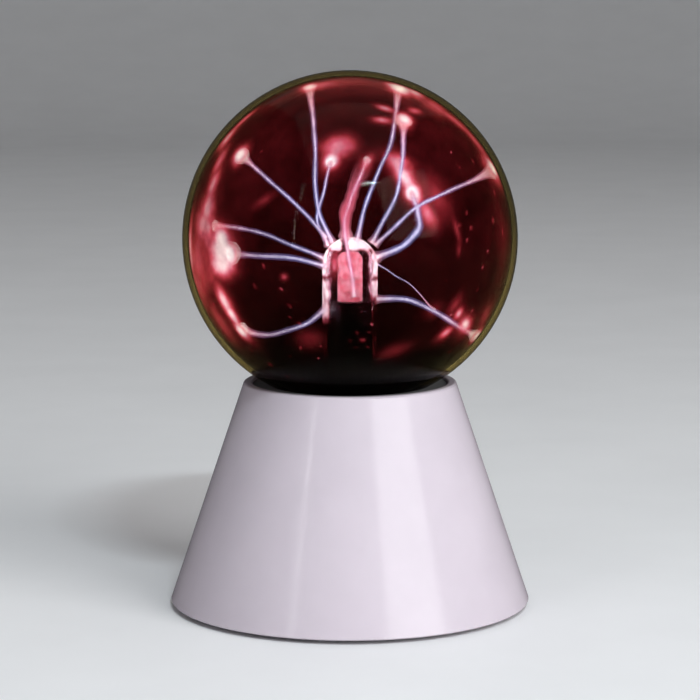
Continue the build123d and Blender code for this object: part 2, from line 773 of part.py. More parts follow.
transformer_bobbin.part.label = "transformer_bobbin"
secondary_winding.part.label = "secondary_winding"
primary_winding.part.label = "primary_winding"
heat_sink.part.label = "heat_sink"
transistor_body.part.label = "transistor_body"
transistor_legs.part.label = "transistor_legs"
transistor_screw.part.label = "transistor_screw"
transistor_nut.part.label = "transistor_nut"
electrolytic_capacitors.part.label = "electrolytic_capacitors"
film_capacitor.part.label = "film_capacitor"
driver_chip.part.label = "driver_chip"
chip_legs.part.label = "chip_legs"
resistors.part.label = "resistors"
resistor_leads.part.label = "resistor_leads"
battery_lead_positive.part.label = "battery_lead_positive"
battery_lead_negative.part.label = "battery_lead_negative"
high_voltage_lead.part.label = "high_voltage_lead"
usb_shell.part.label = "usb_shell"
usb_tongue.part.label = "usb_tongue"
switch_body.part.label = "switch_body"
switch_frame.part.label = "switch_frame"
switch_slider.part.label = "switch_slider"
switch_knob.part.label = "switch_knob"

for piece in (
    base_shell,
    base_plate,
    rubber_feet,
    base_plate_screws,
    battery_door,
    battery_door_screw,
    battery_cells,
    battery_springs,
    contact_plate_positive,
    contact_plate_negative,
    contact_bridges,
    glass_globe,
    glass_stem,
    exhaust_tip,
    electrode_core,
    electrode_tip,
    electrode_terminal,
    foam_ring,
    neck_bush,
    globe_retainer,
    retainer_screws,
    circuit_board,
    board_screws,
    transformer_core,
    transformer_bobbin,
    secondary_winding,
    primary_winding,
    heat_sink,
    transistor_body,
    transistor_legs,
    transistor_screw,
    transistor_nut,
    electrolytic_capacitors,
    film_capacitor,
    driver_chip,
    chip_legs,
    resistors,
    resistor_leads,
    battery_lead_positive,
    battery_lead_negative,
    high_voltage_lead,
    usb_shell,
    usb_tongue,
    switch_body,
    switch_frame,
    switch_slider,
    switch_knob,
):
    export_step(piece.part, f"parts/{piece.part.label}.step")
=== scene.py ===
"""Looks of the small plasma ball.

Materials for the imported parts, the plasma inside the globe, and the camera, floor and lights.
"""

import math

import bpy
import numpy as np
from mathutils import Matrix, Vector, noise


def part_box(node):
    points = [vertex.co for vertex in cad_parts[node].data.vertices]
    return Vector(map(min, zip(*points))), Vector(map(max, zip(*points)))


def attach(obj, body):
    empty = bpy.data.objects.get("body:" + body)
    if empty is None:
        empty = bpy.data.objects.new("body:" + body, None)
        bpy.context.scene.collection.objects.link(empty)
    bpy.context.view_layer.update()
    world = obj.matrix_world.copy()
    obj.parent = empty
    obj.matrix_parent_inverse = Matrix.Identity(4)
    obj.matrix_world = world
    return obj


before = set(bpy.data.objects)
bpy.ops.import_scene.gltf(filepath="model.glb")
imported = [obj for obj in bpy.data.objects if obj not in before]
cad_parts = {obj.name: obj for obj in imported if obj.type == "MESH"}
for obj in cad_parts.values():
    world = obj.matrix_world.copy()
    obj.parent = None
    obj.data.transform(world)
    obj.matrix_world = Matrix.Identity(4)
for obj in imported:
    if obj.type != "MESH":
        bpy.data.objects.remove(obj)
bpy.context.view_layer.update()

# noise_vector starts from the clock unless it is seeded
noise.seed_set(11)

# ------------------------------------------------------------------ sizes, from the frame

MM = 0.001
globe_low, globe_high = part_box("glass_globe")
stem_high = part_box("glass_stem")[1]

GLOBE_R = (globe_high.x - globe_low.x) / 2
CENTRE = Vector((0, 0, globe_high.z - GLOBE_R))
WALL = 1.0 * MM
INSIDE_R = GLOBE_R - WALL
GAS_R = INSIDE_R - 0.10 * MM
GLOW_R = GAS_R - 0.25 * MM
PAD_R = GLOW_R - 0.10 * MM
# The meshes of the gas and the glow stop above the neck, at these heights over the globe's centre
GAS_LOWEST = -31.0 * MM
GLOW_LOWEST = -31.2 * MM
STEM_R = 5.5 * MM
DOME_Z = stem_high.z - STEM_R
SHEATH_FOOT_Z = 58.0 * MM
SHEATH_LIFT = 0.28 * MM

# What one pass through the gas's tint leaves of each colour, and the glass's own absorption
GAS_TINT = (0.17, 0.045, 0.055)
GLASS_COLOUR = (0.60, 0.50, 0.12)
GLASS_DENSITY = 650.0
# Far below real glass, so that the thin walls show no bright ring and hardly mirror the lights
GLOBE_IOR = 1.09
STEM_IOR = 1.16
# The share of each colour that gets out through the tint and the wall
SEEN_SHARE = tuple(g * math.exp(-(1 - c) * GLASS_DENSITY * WALL) for g, c in zip(GAS_TINT, GLASS_COLOUR))


# ------------------------------------------------------------------ small helpers for node trees


def new_look(name):
    """An empty Principled material: (material, tree, shader)."""
    mat = bpy.data.materials.new(name)
    mat.use_nodes = True
    return mat, mat.node_tree, mat.node_tree.nodes["Principled BSDF"]


def add(tree, kind, settings=None, **inputs):
    """A node with attributes from settings and values or links on its named inputs."""
    made = tree.nodes.new(kind)
    for key, value in (settings or {}).items():
        setattr(made, key, value)
    for key, value in inputs.items():
        feed(tree, made.inputs[key.replace("_", " ")], value)
    return made


def feed(tree, socket, value):
    if isinstance(value, bpy.types.NodeSocket):
        tree.links.new(value, socket)
    else:
        socket.default_value = value


def place(tree):
    """Position in the part's own frame, in metres."""
    return add(tree, "ShaderNodeTexCoord").outputs["Object"]


def axis_of(tree, letter):
    split = add(tree, "ShaderNodeSeparateXYZ", Vector=place(tree))
    return split.outputs[letter]


def grain(tree, size, detail=4.0, roughness=0.55, vector=None):
    """Noise whose features are about size metres across."""
    made = add(
        tree,
        "ShaderNodeTexNoise",
        Vector=vector or place(tree),
        Scale=1 / size,
        Detail=detail,
        Roughness=roughness,
    )
    return made.outputs["Fac"]


def ramp(tree, fac, stops, interpolation="LINEAR"):
    """Colours along fac: stops are (place, colour)."""
    made = add(tree, "ShaderNodeValToRGB", Fac=fac)
    band = made.color_ramp
    band.interpolation = interpolation
    while len(band.elements) < len(stops):
        band.elements.new(0.5)
    for element, (where, colour) in zip(band.elements, stops):
        element.position = where
        element.color = (*colour, 1)
    return made.outputs["Color"]


def fit(tree, fac, low, high, to_low, to_high, smooth=False):
    """fac from low..high mapped onto to_low..to_high, clamped."""
    made = add(
        tree,
        "ShaderNodeMapRange",
        {"interpolation_type": "SMOOTHSTEP" if smooth else "LINEAR"},
        Value=fac,
        From_Min=low,
        From_Max=high,
        To_Min=to_low,
        To_Max=to_high,
    )
    return made.outputs["Result"]


def calc(tree, operation, a, b=0.0):
    made = add(tree, "ShaderNodeMath", {"operation": operation})
    feed(tree, made.inputs[0], a)
    feed(tree, made.inputs[1], b)
    return made.outputs[0]


def blend(tree, fac, a, b, mode="MIX"):
    made = add(tree, "ShaderNodeMix", {"data_type": "RGBA", "blend_type": mode})
    feed(tree, made.inputs[0], fac)
    feed(tree, made.inputs[6], a if isinstance(a, bpy.types.NodeSocket) else (*a, 1))
    feed(tree, made.inputs[7], b if isinstance(b, bpy.types.NodeSocket) else (*b, 1))
    return made.outputs[2]


def emboss(tree, shader, height, depth, strength=1.0):
    """Bump of the given depth in metres."""
    made = add(tree, "ShaderNodeBump", Strength=strength, Distance=depth, Height=height)
    tree.links.new(made.outputs["Normal"], shader.inputs["Normal"])


def shade(colour, factor):
    return tuple(min(1.0, c * factor) for c in colour)


# ------------------------------------------------------------------ materials


def glossy_white():
    """Injection-moulded glossy ABS: faint flow marks, fine orange peel, a rubbed foot, and a lavender cast of
    painted light.
    """
    mat, tree, shader = new_look("look_white_abs")
    flow = grain(tree, 14 * MM, detail=3)
    # Partly painted light: white plastic, with the lavender cast of the light from the plasma and the room
    # painted into its colour
    base = ramp(tree, flow, [(0.3, (0.555, 0.490, 0.545)), (0.7, (0.590, 0.521, 0.578))])
    height = axis_of(tree, "Z")
    scuff = grain(tree, 0.9 * MM, detail=6, roughness=0.7)
    near_foot = fit(tree, height, 0.7 * MM, 2.0 * MM, 1.0, 0.0, smooth=True)
    worn = calc(tree, "MULTIPLY", near_foot, fit(tree, scuff, 0.5, 0.65, 0.0, 0.3))
    feed(tree, shader.inputs["Base Color"], blend(tree, worn, base, (0.80, 0.77, 0.80)))
    smear = grain(tree, 5 * MM, detail=5)
    rough = fit(tree, smear, 0.35, 0.7, 0.13, 0.21)
    feed(tree, shader.inputs["Roughness"], calc(tree, "ADD", rough, calc(tree, "MULTIPLY", worn, 0.3)))
    shader.inputs["IOR"].default_value = 1.35
    feed(tree, shader.inputs["Subsurface Weight"], 0.06)
    shader.inputs["Subsurface Radius"].default_value = (0.004, 0.003, 0.004)
    shader.inputs["Subsurface Scale"].default_value = 0.5
    peel = calc(tree, "ADD", grain(tree, 1.6 * MM, detail=2), calc(tree, "MULTIPLY", scuff, 0.12))
    emboss(tree, shader, peel, 0.02 * MM, 0.35)
    return mat


def moulded(name, colour, rough=0.5, size=0.35 * MM, depth=0.03 * MM, spread=0.12):
    """Textured moulded plastic with uneven colour and a fine spark-eroded grain."""
    mat, tree, shader = new_look(name)
    patches = grain(tree, 6 * MM, detail=4)
    feed(
        tree,
        shader.inputs["Base Color"],
        ramp(tree, patches, [(0.3, shade(colour, 1 - spread)), (0.7, shade(colour, 1 + spread))]),
    )
    pits = grain(tree, size, detail=3, roughness=0.6)
    feed(tree, shader.inputs["Roughness"], fit(tree, pits, 0.3, 0.7, rough - 0.08, rough + 0.1))
    emboss(tree, shader, pits, depth, 0.6)
    return mat


def rubber(name, colour, size=0.5 * MM):
    """Soft rubber or foam: dusty, matte and pored."""
    mat, tree, shader = new_look(name)
    dust = grain(tree, 2.5 * MM, detail=6, roughness=0.65)
    feed(
        tree,
        shader.inputs["Base Color"],
        ramp(tree, dust, [(0.35, colour), (0.75, tuple(c + 0.035 for c in colour))]),
    )
    pores = add(tree, "ShaderNodeTexVoronoi", Vector=place(tree), Scale=1 / size).outputs["Distance"]
    feed(tree, shader.inputs["Roughness"], fit(tree, dust, 0.3, 0.7, 0.7, 0.92))
    feed(tree, shader.inputs["Sheen Weight"], 0.15)
    emboss(tree, shader, pores, 0.06 * MM, 0.5)
    return mat


def metal(name, colour, rough=0.3, along="Z", stain=None):
    """Drawn or plated metal: streaks across one axis, small stains and uneven shine."""
    mat, tree, shader = new_look(name)
    stretch = {"X": (1, 14, 14), "Y": (14, 1, 14), "Z": (14, 14, 1)}[along]
    drawn = add(tree, "ShaderNodeVectorMath", {"operation": "MULTIPLY"})
    feed(tree, drawn.inputs[0], place(tree))
    drawn.inputs[1].default_value = stretch
    streaks = grain(tree, 1.2 * MM, detail=5, roughness=0.6, vector=drawn.outputs[0])
    clouds = grain(tree, 2.2 * MM, detail=5)
    base = ramp(tree, streaks, [(0.3, shade(colour, 0.82)), (0.7, shade(colour, 1.1))])
    dull = fit(tree, clouds, 0.55, 0.75, 0.0, 0.55, smooth=True)
    base = blend(tree, dull, base, stain or shade(colour, 0.55))
    feed(tree, shader.inputs["Base Color"], base)
    feed(tree, shader.inputs["Metallic"], 1.0)
    feed(tree, shader.inputs["Roughness"], fit(tree, clouds, 0.3, 0.75, rough - 0.06, rough + 0.18))
    emboss(tree, shader, streaks, 0.01 * MM, 0.5)
    return mat


def clear_glass(name, tint, ior, absorb=None, density=0.0):
    """Thin blown glass: faint waves, smears on the surface, and a tint that gathers along its wall."""
    mat, tree, shader = new_look(name)
    waves = grain(tree, 9 * MM, detail=2)
    smears = grain(tree, 6 * MM, detail=6, roughness=0.65)
    feed(tree, shader.inputs["Base Color"], ramp(tree, smears, [(0.3, tint), (0.8, shade(tint, 0.97))]))
    feed(tree, shader.inputs["Roughness"], fit(tree, smears, 0.5, 0.8, 0.0, 0.05))
    shader.inputs["IOR"].default_value = ior
    shader.inputs["Specular IOR Level"].default_value = 0.12
    shader.inputs["Transmission Weight"].default_value = 1.0
    emboss(tree, shader, waves, 0.03 * MM, 0.2)
    if absorb:
        soak = add(tree, "ShaderNodeVolumeAbsorption")
        soak.inputs["Color"].default_value = (*absorb, 1)
        soak.inputs["Density"].default_value = density
        tree.links.new(soak.outputs[0], tree.nodes["Material Output"].inputs["Volume"])
    return mat


def gas_tint():
    """The globe's filling as it looks lit: each pass takes off most light and leaves a deep maroon."""
    mat, tree, shader = new_look("look_gas")
    tree.nodes.remove(shader)
    clouds = grain(tree, 18 * MM, detail=5, roughness=0.6)
    tint = ramp(tree, clouds, [(0.35, shade(GAS_TINT, 0.60)), (0.62, shade(GAS_TINT, 1.25))])
    # Painted shade: nearly black at the bottom of the globe, and the full tint from 62 mm up
    height = axis_of(tree, "Z")
    risen = fit(tree, height, 46 * MM, 62 * MM, 0.0, 1.0, smooth=True)
    passed = blend(tree, risen, (0.02, 0.008, 0.01), tint)
    clear = add(tree, "ShaderNodeBsdfTransparent", Color=passed)
    tree.links.new(clear.outputs[0], tree.nodes["Material Output"].inputs["Surface"])
    return mat


def glowing(name, strength, see_through=False):
    """Light painted on the mesh: colour from its "glow" attribute, cover from "cover"."""
    mat, tree, shader = new_look(name)
    painted = add(tree, "ShaderNodeAttribute", {"attribute_name": "glow"})
    flicker = grain(tree, 1.1 * MM, detail=4)
    colour = painted.outputs["Color"]
    dimmed = blend(tree, 1.0, colour, (0.82, 0.80, 0.84), "MULTIPLY")
    light = blend(tree, fit(tree, flicker, 0.35, 0.65, 0.0, 1.0), colour, dimmed)
    feed(tree, shader.inputs["Base Color"], (0, 0, 0, 1))
    feed(tree, shader.inputs["Specular IOR Level"], 0.0)
    feed(tree, shader.inputs["Roughness"], 1.0)
    feed(tree, shader.inputs["Emission Color"], light)
    shader.inputs["Emission Strength"].default_value = strength / SEEN_SHARE[0]
    if see_through:
        cover = add(tree, "ShaderNodeAttribute", {"attribute_name": "cover"})
        feed(tree, shader.inputs["Alpha"], cover.outputs["Fac"])
    mat.cycles.emission_sampling = "NONE"
    return mat


# ------------------------------------------------------------------ meshes with painted light


def seen_through_gas(colour):
    """The light that has to leave a piece inside the globe to be seen in this colour."""
    return tuple(c / t * SEEN_SHARE[0] for c, t in zip(colour, SEEN_SHARE))


def light_mesh(name, points, faces, colours, cover=None):
    mesh = bpy.data.meshes.new(name)
    mesh.from_pydata([tuple(p) for p in points], [], faces)
    paint = mesh.attributes.new("glow", "FLOAT_COLOR", "POINT")
    rgba = np.ones((len(points), 4), dtype=np.float32)
    rgba[:, :3] = np.array([seen_through_gas(c) for c in colours])
    paint.data.foreach_set("color", rgba.ravel())
    if cover is not None:
        layer = mesh.attributes.new("cover", "FLOAT", "POINT")
        layer.data.foreach_set("value", np.asarray(cover, dtype=np.float32))
    mesh.shade_smooth()
    piece = bpy.data.objects.new(name, mesh)
    bpy.context.scene.collection.objects.link(piece)
    piece.visible_diffuse = False
    piece.visible_shadow = False
    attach(piece, "lamp")
    return piece


def curve_through(points, count):
    """Evenly spread places on a Catmull-Rom curve through the points."""
    ends = [points[0] * 2 - points[1], *points, points[-1] * 2 - points[-2]]
    fine = []
    steps = 24
    for a, b, c, d in zip(ends, ends[1:], ends[2:], ends[3:]):
        for step in range(steps):
            t = step / steps
            slope = (c - a) * t
            bend = (2 * a - 5 * b + 4 * c - d) * t**2
            twist = (3 * b - a - 3 * c + d) * t**3
            fine.append(0.5 * (2 * b + slope + bend + twist))
    fine.append(points[-1])
    runs = np.cumsum([0.0] + [(q - p).length for p, q in zip(fine, fine[1:])])
    wanted = np.linspace(0, runs[-1], count)
    places = []
    for s in wanted:
        i = min(int(np.searchsorted(runs, s, side="right")) - 1, len(fine) - 2)
        share = (s - runs[i]) / max(runs[i + 1] - runs[i], 1e-9)
        places.append(fine[i].lerp(fine[i + 1], share))
    return places


def tube_along(places, radii, sides=10):
    """Rings and faces of a tube with a radius for each place, closed at both ends."""
    points, faces = [], []
    # Any direction will do, as long as no tube sets out along it
    side = Vector((0.31, 0.87, 0.38))
    for i, centre in enumerate(places):
        ahead = (places[min(i + 1, len(places) - 1)] - places[max(i - 1, 0)]).normalized()
        side = (side - ahead * side.dot(ahead)).normalized()
        other = ahead.cross(side)
        for k in range(sides):
            turn = 2 * math.pi * k / sides
            points.append(centre + (side * math.cos(turn) + other * math.sin(turn)) * radii[i])
    for i in range(len(places) - 1):
        for k in range(sides):
            a, b = i * sides + k, i * sides + (k + 1) % sides
            faces.append((a, b, b + sides, a + sides))
    faces.append(tuple(reversed(range(sides))))
    faces.append(tuple(range(len(points) - sides, len(points))))
    return points, faces


# ------------------------------------------------------------------ the plasma

# Seen colours
WHITE_HOT = (1.08, 0.82, 0.92)
LAVENDER = (0.78, 0.77, 1.00)
VIOLET = (0.18, 0.20, 0.52)
PINK = (0.66, 0.12, 0.19)

# What a glow looks like as it gets stronger
HEAT = [
    (0.00, (0.0, 0.0, 0.0)),
    (0.25, (0.11, 0.007, 0.011)),
    (0.45, (0.33, 0.030, 0.045)),
    (0.65, (0.60, 0.090, 0.150)),
    (0.82, (0.80, 0.340, 0.450)),
    (0.96, (0.95, 0.640, 0.740)),
    (1.15, (1.20, 1.000, 1.080)),
]


def heat(amount):
    """The seen colour of a glow of this strength, from 0 to the last one in HEAT."""
    for (low, cool), (high, warm) in zip(HEAT, HEAT[1:]):
        if amount <= high:
            return mix3(cool, warm, (amount - low) / (high - low))
    return HEAT[-1][1]


def mix3(a, b, share):
    share = min(max(share, 0.0), 1.0)
    return tuple(p + (q - p) * share for p, q in zip(a, b))


def smooth(low, high, value):
    t = min(max((value - low) / (high - low), 0.0), 1.0)
    return t * t * (3 - 2 * t)


# Where the main view's camera stands: places in the globe are given as they look from there
VIEWER = Vector((0, -0.550, 0.133))
TOWARDS = (CENTRE - VIEWER).normalized()
ACROSS = Vector((1, 0, 0))
UPWARDS = ACROSS.cross(TOWARDS)


def spot(x, z, side, radius=PAD_R):
    """The place on the globe's inside that is seen x right of and z above its centre, in millimetres.

    side is -1 on the near half and 1 on the far half.
    """
    flat = ACROSS * x * MM + UPWARDS * z * MM
    farthest = radius * 0.985
    if flat.length > farthest:
        flat *= farthest / flat.length
    way = (CENTRE + flat - VIEWER).normalized()
    back = VIEWER - CENTRE
    middle = -back.dot(way)
    half = math.sqrt(max(middle**2 - back.length_squared + radius**2, 0.0))
    return VIEWER + way * (middle + side * half)


def inner(x, y, z):
    """The place that is seen x right of and z above the globe's centre, y farther than it, in millimetres."""
    sight = CENTRE + ACROSS * x * MM + UPWARDS * z * MM - VIEWER
    return VIEWER + sight * (1 + y * MM / (CENTRE - VIEWER).length)


def held_in(place):
    """The place, or the nearest one on the glass if it is outside."""
    out = place - CENTRE
    return place if out.length <= PAD_R else CENTRE + out * (PAD_R / out.length)


# Each filament: its places from the electrode outwards, where it meets the glass as (x, z, side),
# how thick it is, how wide its foot on the glass is, and how pink it is all along
FILAMENTS = [
    (
        [(-3.7, -3.2, -0.8), (-6.4, -5.0, 5.0), (-7.1, -5.8, 10.5), (-7.3, -6.0, 19.3)],
        (-8.4, 31.4, -1), 1.0, 1.0, 0,
    ),
    (
        [(-4.6, 2.4, -1.3), (-6.9, 6.5, 4.0), (-5.4, 15.0, 10.0)],
        (-4.1, 15.8, 1), 0.8, 0.6, 0,
    ),
    (
        [(-4.9, -2.2, 0.2), (-10.5, -5.5, 6.4), (-17.0, -9.5, 12.3)],
        (-22.6, 17.2, -1), 0.9, 1.5, 0,
    ),
    (
        [(-5.3, 1.6, -4.2), (-10.5, 4.5, -1.9), (-17.6, 8.5, 1.0), (-24.1, 13.5, 2.3)],
        (-28.4, 2.7, 1), 0.95, 0.8, 0,
    ),
    (
        [(-5.0, -2.6, -5.8), (-12.4, -7.0, -3.9), (-20.2, -14.0, -3.5)],
        (-25.0, -3.1, -1), 1.15, 2.0, 0,
    ),
    (
        [(-4.9, -2.8, -14.6), (-9.2, -5.5, -17.7), (-17.0, -10.5, -20.1)],
        (-22.6, -19.2, -1), 1.1, 1.2, 0,
    ),
    (
        [(1.5, -3.6, -0.4), (3.0, -4.2, 6.4), (6.3, -4.4, 14.2), (8.8, -4.0, 20.6)],
        (10.1, 31.3, -1), 0.95, 1.2, 0,
    ),
    (
        [(4.6, -2.8, -0.8), (8.8, -6.5, 7.1), (10.8, -10.5, 14.2)],
        (11.2, 24.6, -1), 1.0, 1.5, 0,
    ),
    (
        [(5.2, 1.2, -1.4), (10.1, 1.8, 3.2), (15.3, 2.2, 7.7), (21.7, 2.2, 10.3)],
        (29.8, 14.2, 1), 0.9, 1.6, 0.1,
    ),
    (
        [(5.6, 1.0, -3.9), (11.4, 5.0, -1.3), (14.4, 11.0, 2.4), (14.2, 18.0, 6.0)],
        (13.0, 9.3, 1), 1.5, 0.6, 0,
    ),
    (
        [(5.6, -1.2, -12.6), (12.0, -2.0, -12.8), (17.9, -2.6, -15.5), (23.0, -2.6, -18.4)],
        (26.4, -20.6, -1), 1.2, 0.9, 0,
    ),
    # the one up the front of the stem and on towards the camera, and two wide pink strands beside it
    (
        [
            (0.9, -5.9, -12.2), (0.5, -6.2, -8.0), (-0.4, -6.1, -3.5),
            (-0.9, -6.6, 0.6), (-0.9, -11.0, 4.5), (0.6, -19.0, 9.5),
        ],
        (3.6, 16.4, -1), 1.0, 0.3, 0.75,
    ),
    (
        [(-0.8, -4.6, 0.6), (-0.5, -11.5, 4.6), (1.4, -20.0, 10.0)],
        (4.8, 16.6, -1), 1.6, 0.1, 1,
    ),
    (
        [(-0.9, -4.2, 0.6), (-1.3, -10.5, 5.0), (0.2, -19.5, 10.5)],
        (3.2, 17.6, -1), 1.7, 0.1, 1,
    ),
    (
        [(5.0, 2.4, -5.0), (9.5, 9.0, -7.5), (14.0, 17.0, -11.0)],
        (17.5, -15.0, 1), 0.28, 0.5, 0,
    ),
]
# Layers of a filament: name, radius in mm, cover, and how much the foot on the glass widens it
LAYERS = [("core", 0.20, 1.0, 1.0), ("sleeve", 0.34, 0.30, 1.25), ("haze", 0.58, 0.14, 1.5)]
FILAMENT_RINGS = 80
WANDER = 0.55 * MM
WANDER_SCALE = 130
FILAMENT_LIGHT = 1.3
FILM_LIGHT = 1.25


def wandering(place, seed, reach):
    """A place nudged up to reach by smooth noise, as the gas carries a filament."""
    where = place * WANDER_SCALE + Vector((seed * 7.3, seed * 3.1, 0))
    return place + noise.noise_vector(where) * reach


def filament_layer(layer, seed, filament):
    """Points, faces, colours and cover of one layer of a filament."""
    name, width, solid, widening = layer
    inside, end, thick, foot, pinkness = filament
    points = [inner(*p) for p in inside]
    points.append(spot(*end))
    places = []
    for i, place in enumerate(curve_through(points, FILAMENT_RINGS)):
        sway = WANDER * math.sin(math.pi * i / (FILAMENT_RINGS - 1))
        places.append(wandering(place, seed, sway))
    # Lengths from here on are in mm: the whole, what is behind a ring, and what is left up to the glass
    whole = sum((q - p).length for p, q in zip(places, places[1:])) / MM
    wide_strand = pinkness == 1
    radii, colours, cover = [], [], []
    for i, place in enumerate(places):
        gone = whole * i / (FILAMENT_RINGS - 1)
        left = whole - gone
        swell = 1 + 0.2 * noise.noise(place * 420 + Vector((seed, 0, 0)))
        root = 0.9 * math.exp(-gone / 1.1)
        mouth = foot * widening * 0.62 * math.exp(-left / (0.9 + 0.55 * foot))
        radii.append((thick * width * swell + width * root + mouth) * MM)
        hot = math.exp(-left / 3.0)
        rose = max(math.exp(-left / 8.0), pinkness)
        start = math.exp(-gone / 2.0)
        if name == "core":
            cool = mix3(LAVENDER, heat(0.78), 0.7 * rose)
            colours.append(mix3(cool, WHITE_HOT, max(hot, 0.8 * start)))
            cover.append(1.0)
            continue
        foot_light = heat(0.80 + 0.34 * hot**4)
        colours.append(mix3(mix3(VIOLET, PINK, rose), foot_light, max(0.7 * hot, hot**4, start)))
        # The wide strands fade out before they reach the glass, and the others are denser at the foot
        dense = 1 - smooth(0.40, 0.97, gone / whole) if wide_strand else 1 + 1.1 * hot
        cover.append(min(0.85, solid * dense))
    tube, faces = tube_along(places, radii)
    tube = [held_in(p) for p in tube]
    sides = len(tube) // FILAMENT_RINGS
    return tube, faces, np.repeat(colours, sides, axis=0).tolist(), np.repeat(cover, sides).tolist()


def filament_bodies():
    """Every filament as a hot core in two soft sleeves, all flaring where they meet the glass."""
    for layer in LAYERS:
        name = layer[0]
        points, faces, colours, cover = [], [], [], []
        for seed, filament in enumerate(FILAMENTS):
            pinkness = filament[4]
            if name == "core" and pinkness == 1:
                continue
            tube, walls, lit, solid = filament_layer(layer, seed, filament)
            faces += [tuple(len(points) + v for v in face) for face in walls]
            points += tube
            colours += lit
            cover += solid
        piece = light_mesh(f"plasma_{name}", points, faces, colours, cover)
        look = glowing(f"look_plasma_{name}", FILAMENT_LIGHT, see_through=name != "core")
        piece.data.materials.append(look)


# Glows on the glass: middle as (x, z, side), size along and across in mm, tilt in degrees, strength,
# and how many petals surround it
GLOWS = [
    # the left side: a streak that runs down from the top, and hotter lobes where it widens
    ((-21.8, 24.6, -1), 3.2, 1.5, 50, 0.64, 0),
    ((-25.6, 20.4, -1), 2.8, 2.2, 55, 0.72, 0),
    ((-27.0, 16.0, -1), 3.4, 1.7, 74, 0.64, 0),
    ((-28.3, 11.4, -1), 3.6, 2.0, 78, 0.66, 0),
    ((-29.6, 6.4, -1), 3.6, 3.0, 80, 0.66, 0),
    ((-30.6, 2.8, -1), 3.4, 4.2, 80, 0.66, 0),
    ((-33.2, -1.5, -1), 6.0, 2.0, 88, 0.70, 0),
    ((-31.5, -4.0, -1), 6.0, 5.5, 80, 0.48, 0),
    ((-26.6, 0.4, -1), 2.6, 3.0, 70, 0.90, 0),
    ((-27.4, -2.4, -1), 3.4, 3.6, 90, 0.74, 0),
    ((-26.4, -5.8, -1), 2.2, 3.0, -60, 0.76, 0),
    ((-25.0, -3.1, -1), 2.1, 2.1, 0, 1.10, 0),
    ((-22.8, 17.3, -1), 2.0, 2.1, 0, 1.14, 0),
    ((-31.4, -10.0, -1), 6.0, 4.0, 100, 0.42, 0),
    ((-26.4, -12.6, -1), 3.2, 2.0, -60, 0.82, 0),
    ((-24.4, -16.0, -1), 3.2, 1.5, -52, 0.80, 0),
    ((-22.6, -19.3, -1), 2.2, 1.5, -30, 1.00, 0),
    ((-27.0, -17.0, -1), 5.0, 3.0, -58, 0.45, 0),
    # the top: feet of the two upright filaments, and a red band along the edge
    ((-8.4, 31.2, -1), 2.0, 3.2, 0, 0.86, 0),
    ((-5.0, 31.8, -1), 4.0, 3.0, 0, 0.46, 0),
    ((1.0, 32.4, -1), 9.0, 5.0, 0, 0.32, 0),
    ((-15.0, 28.4, -1), 6.0, 1.6, 28, 0.14, 0),
    ((10.2, 31.0, -1), 2.4, 4.0, 0, 1.08, 0),
    ((13.6, 30.0, -1), 2.2, 3.4, -25, 0.74, 0),
    ((17.5, 27.5, -1), 3.6, 4.0, -35, 0.46, 0),
    ((11.2, 24.8, -1), 1.7, 1.9, 0, 1.08, 0),
    ((7.2, 27.0, -1), 2.0, 1.1, -22, 0.80, 0),
    ((6.6, 24.6, -1), 1.9, 1.0, 8, 0.76, 0),
    ((13.4, 26.4, -1), 1.6, 1.1, 40, 0.66, 0),
    # the back, seen through the globe
    ((-4.1, 16.0, 1), 1.8, 1.9, 0, 1.14, 0),
    ((-2.4, 19.2, 1), 3.6, 3.0, 20, 0.52, 6),
    ((13.0, 9.5, 1), 1.9, 2.1, 0, 1.10, 0),
    ((11.4, 12.6, 1), 3.0, 2.1, -60, 0.78, 0),
    ((9.6, 16.0, 1), 3.2, 2.2, -50, 0.60, 3),
    ((16.2, 5.2, 1), 2.8, 1.7, -66, 0.68, 0),
    ((18.0, 9.0, 1), 4.5, 3.0, -60, 0.40, 0),
    ((-8.5, -21.0, 1), 2.4, 1.8, 30, 0.26, 0),
    ((9.5, -23.5, 1), 3.0, 1.4, 20, 0.26, 0),
    ((17.5, -15.0, 1), 1.6, 1.4, 0, 0.34, 0),
    ((-18.0, 8.0, 1), 2.6, 1.0, 20, 0.34, 0),
    ((22.0, -14.0, 1), 2.4, 1.2, 60, 0.36, 0),
    # the right side
    ((29.6, 14.4, -1), 2.3, 3.0, 60, 1.15, 0),
    ((30.4, 13.6, 1), 3.0, 3.4, 60, 0.70, 0),
    ((26.0, 20.0, -1), 5.5, 2.2, -56, 0.50, 0),
    ((21.6, 24.4, -1), 5.0, 2.0, -46, 0.50, 0),
    ((22.4, 1.8, 1), 3.0, 0.6, -60, 0.42, 0),
    ((22.8, -2.4, 1), 1.4, 0.6, -80, 0.38, 0),
    ((31.8, 0.0, -1), 8.0, 3.0, 90, 0.18, 0),
    ((26.3, -20.3, -1), 2.8, 2.0, -35, 1.12, 0),
    ((24.0, -17.8, -1), 2.8, 1.8, -45, 0.96, 0),
    ((22.6, -15.6, -1), 1.5, 1.1, 60, 0.80, 0),
    ((19.9, -19.6, -1), 1.8, 1.1, 20, 0.76, 0),
    ((28.0, -16.0, -1), 3.2, 2.6, -60, 0.46, 0),
    # the front
    ((3.7, 16.0, -1), 2.4, 1.1, 62, 0.66, 0),
    ((-13.8, -8.0, 1), 0.7, 0.6, 0, 0.60, 0),
]


def globe_grid(radius, rings, sides, lowest):
    """Points and faces of a ball open at the bottom below the height lowest over its centre."""
    points, faces = [], []
    bottom = math.acos(max(-1.0, lowest / radius))
    for i in range(rings + 1):
        down = bottom * i / rings
        for k in range(sides):
            turn = 2 * math.pi * k / sides
            out = math.sin(down)
            way = Vector((out * math.sin(turn), -out * math.cos(turn), math.cos(down)))
            points.append(CENTRE + way * radius)
    for i in range(rings):
        for k in range(sides):
            a, b = i * sides + k, i * sides + (k + 1) % sides
            faces.append((a, a + sides, b + sides, b))
    return points, faces


